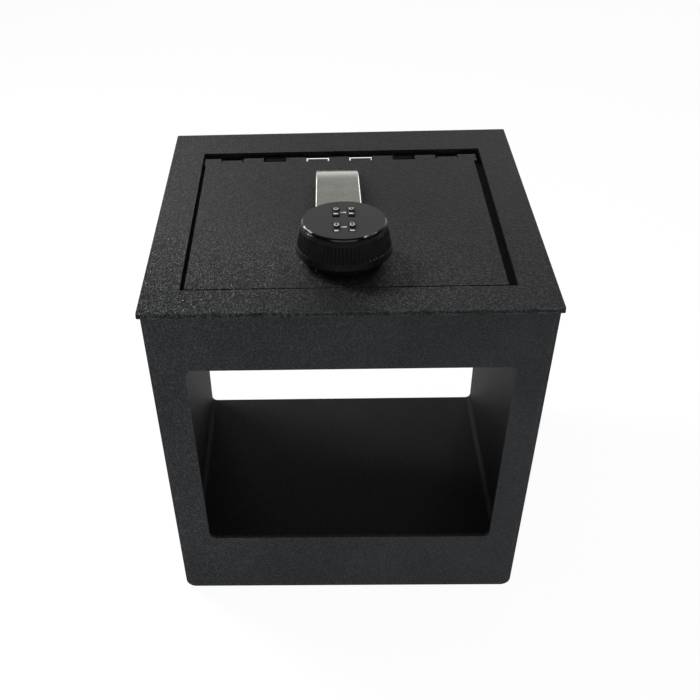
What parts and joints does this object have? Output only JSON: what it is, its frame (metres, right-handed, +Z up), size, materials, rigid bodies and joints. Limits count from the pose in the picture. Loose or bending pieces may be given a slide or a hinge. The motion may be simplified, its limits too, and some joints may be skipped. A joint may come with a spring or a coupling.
{
  "type": "console safe",
  "caption": "Open-backed, tapered sheet-steel console safe: leaning windowed front, drop-in top flange, rolled-hinge lid with a ribbed combination knob, number wheels, a latch cam and a metal pull strap.",
  "frame": {"origin": "middle of the rectangle the safe covers, on the surface it stands on", "axes": "+X right as seen from the window, +Y from the window to the hinge, +Z up"},
  "size_m": [0.254, 0.27, 0.2849],
  "materials": {
    "textured_powder_coat": "black wrinkle-texture powder coat",
    "black_steel": "black, satin",
    "bright_steel": "zinc plated",
    "polished_strap": "bright nickel plate with fine rubbing marks",
    "gloss_black_plastic": "gloss",
    "gloss_grey_plastic": "high gloss",
    "matte_black_plastic": "moulded, matte"
  },
  "bodies": {
    "box": {"body_wrap": "textured_powder_coat", "front_panel": "textured_powder_coat", "top_frame": "textured_powder_coat", "rear_rail": "textured_powder_coat", "side_ledge_left": "textured_powder_coat", "side_ledge_right": "textured_powder_coat", "front_ledge": "textured_powder_coat", "hinge_ear_left": "black_steel", "hinge_ear_right": "black_steel", "hinge_pin": "bright_steel"},
    "lid": {"lid_plate": "textured_powder_coat", "lock_housing": "black_steel", "pull_strap": "polished_strap", "lock_washer": "bright_steel", "lock_nut": "bright_steel"},
    "knob": {"knob_shell": "gloss_black_plastic", "knob_face": "gloss_grey_plastic", "dial_carrier": "matte_black_plastic", "detent_plate": "bright_steel", "dial_axle_front": "bright_steel", "dial_axle_rear": "bright_steel", "spindle": "bright_steel", "latch_cam": "bright_steel", "cam_washer": "bright_steel", "cam_screw": "bright_steel"},
    "wheel_front_left": {"dial_wheel_front_left": "matte_black_plastic"},
    "wheel_front_right": {"dial_wheel_front_right": "matte_black_plastic"},
    "wheel_rear_left": {"dial_wheel_rear_left": "matte_black_plastic"},
    "wheel_rear_right": {"dial_wheel_rear_right": "matte_black_plastic"}
  },
  "joints": [
    {"name": "lid_hinge", "type": "hinge", "parent": "box", "child": "lid", "pos_m": [-0.0015, 0.0874, 0.24955], "axis": [-1, 0, 0], "range_deg": [0, 108]},
    {"name": "knob_turn", "type": "hinge", "parent": "lid", "child": "knob", "pos_m": [-0.0015, -0.0692, 0.255], "axis": [0, 0, 1], "range_deg": [0, 90]},
    {"name": "front_left_dial", "type": "hinge", "parent": "knob", "child": "wheel_front_left", "pos_m": [-0.00635, -0.0792, 0.27685], "axis": [1, 0, 0], "continuous": true},
    {"name": "front_right_dial", "type": "hinge", "parent": "knob", "child": "wheel_front_right", "pos_m": [0.00335, -0.0792, 0.27685], "axis": [1, 0, 0], "continuous": true},
    {"name": "rear_left_dial", "type": "hinge", "parent": "knob", "child": "wheel_rear_left", "pos_m": [-0.00635, -0.0592, 0.27685], "axis": [1, 0, 0], "continuous": true},
    {"name": "rear_right_dial", "type": "hinge", "parent": "knob", "child": "wheel_rear_right", "pos_m": [0.00335, -0.0592, 0.27685], "axis": [1, 0, 0], "continuous": true}
  ]
}
